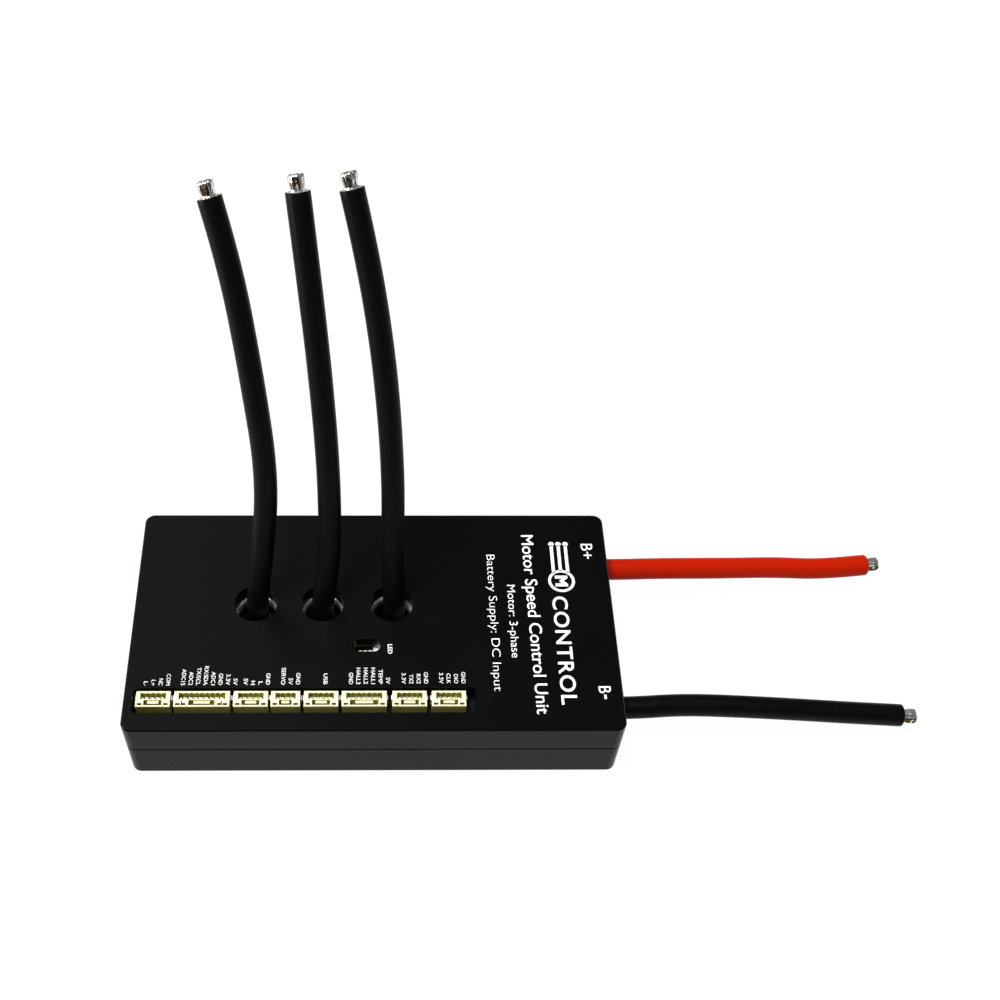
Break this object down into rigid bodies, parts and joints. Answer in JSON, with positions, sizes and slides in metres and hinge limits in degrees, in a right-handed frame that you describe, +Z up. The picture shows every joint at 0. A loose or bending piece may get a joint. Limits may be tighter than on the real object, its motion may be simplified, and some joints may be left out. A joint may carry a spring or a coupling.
{
  "type": "electronic speed controller",
  "caption": "Slab-shaped motor controller: two-shell black aluminium case, a row of small signal headers, round wire holes, and stub phase and battery wires with tinned ends.",
  "frame": {"origin": "centre of the case's flat underside, without the wires", "axes": "+X along the case towards the battery wires, +Y across it away from the signal headers, +Z up out of the cover"},
  "size_m": [0.1932, 0.0817, 0.1155],
  "materials": {
    "case_metal": "black anodised, fine satin",
    "screw_steel": "zinc plated",
    "thermal_silicone": "matte",
    "power_board_laminate": "solder mask on an aluminium core",
    "board_laminate": "glossy solder mask",
    "chip_plastic": "moulded epoxy",
    "copper": "bare copper, cast finish",
    "tinned_metal": "tin plate",
    "capacitor_can": "drawn can",
    "ceramic_chip": "fired ceramic",
    "spacer_brass": "turned",
    "header_plastic": "moulded nylon, ivory",
    "link_plastic": "moulded nylon",
    "ferrite": "pressed ferrite",
    "led_lens": "clear resin over a phosphor",
    "silicone_black": "matte silicone",
    "silicone_red": "matte silicone",
    "tinned_strands": "stranded copper, tinned at the bared end"
  },
  "bodies": {
    "root": {"base_shell": "case_metal", "top_cover": "case_metal", "case_screws": "screw_steel", "thermal_pad": "thermal_silicone", "power_board": "power_board_laminate", "power_board_screws": "screw_steel", "mosfets": "chip_plastic", "current_shunts": "tinned_metal", "phase_terminals": "copper", "battery_terminals": "copper", "bulk_capacitors": "capacitor_can", "ceramic_capacitors": "ceramic_chip", "board_spacers": "spacer_brass", "control_board_screws": "screw_steel", "control_board": "board_laminate", "board_eyelets": "tinned_metal", "board_link_header": "link_plastic", "microcontroller": "chip_plastic", "gate_drivers": "chip_plastic", "can_transceiver": "chip_plastic", "crystal": "tinned_metal", "voltage_regulator": "chip_plastic", "regulator_inductor": "ferrite", "status_leds": "led_lens", "port_solder_tabs": "tinned_metal", "power_switch_port": "header_plastic", "power_switch_port_pins": "tinned_metal", "sensor_port": "header_plastic", "sensor_port_pins": "tinned_metal", "can_port": "header_plastic", "can_port_pins": "tinned_metal", "servo_port": "header_plastic", "servo_port_pins": "tinned_metal", "usb_port": "header_plastic", "usb_port_pins": "tinned_metal", "hall_port": "header_plastic", "hall_port_pins": "tinned_metal", "bluetooth_port": "header_plastic", "bluetooth_port_pins": "tinned_metal", "debug_port": "header_plastic", "debug_port_pins": "tinned_metal", "phase_a_insulation": "silicone_black", "phase_a_conductor": "tinned_strands", "phase_b_insulation": "silicone_black", "phase_b_conductor": "tinned_strands", "phase_c_insulation": "silicone_black", "phase_c_conductor": "tinned_strands", "battery_positive_insulation": "silicone_red", "battery_positive_conductor": "tinned_strands", "battery_negative_insulation": "silicone_black", "battery_negative_conductor": "tinned_strands"}
  },
  "joints": []
}
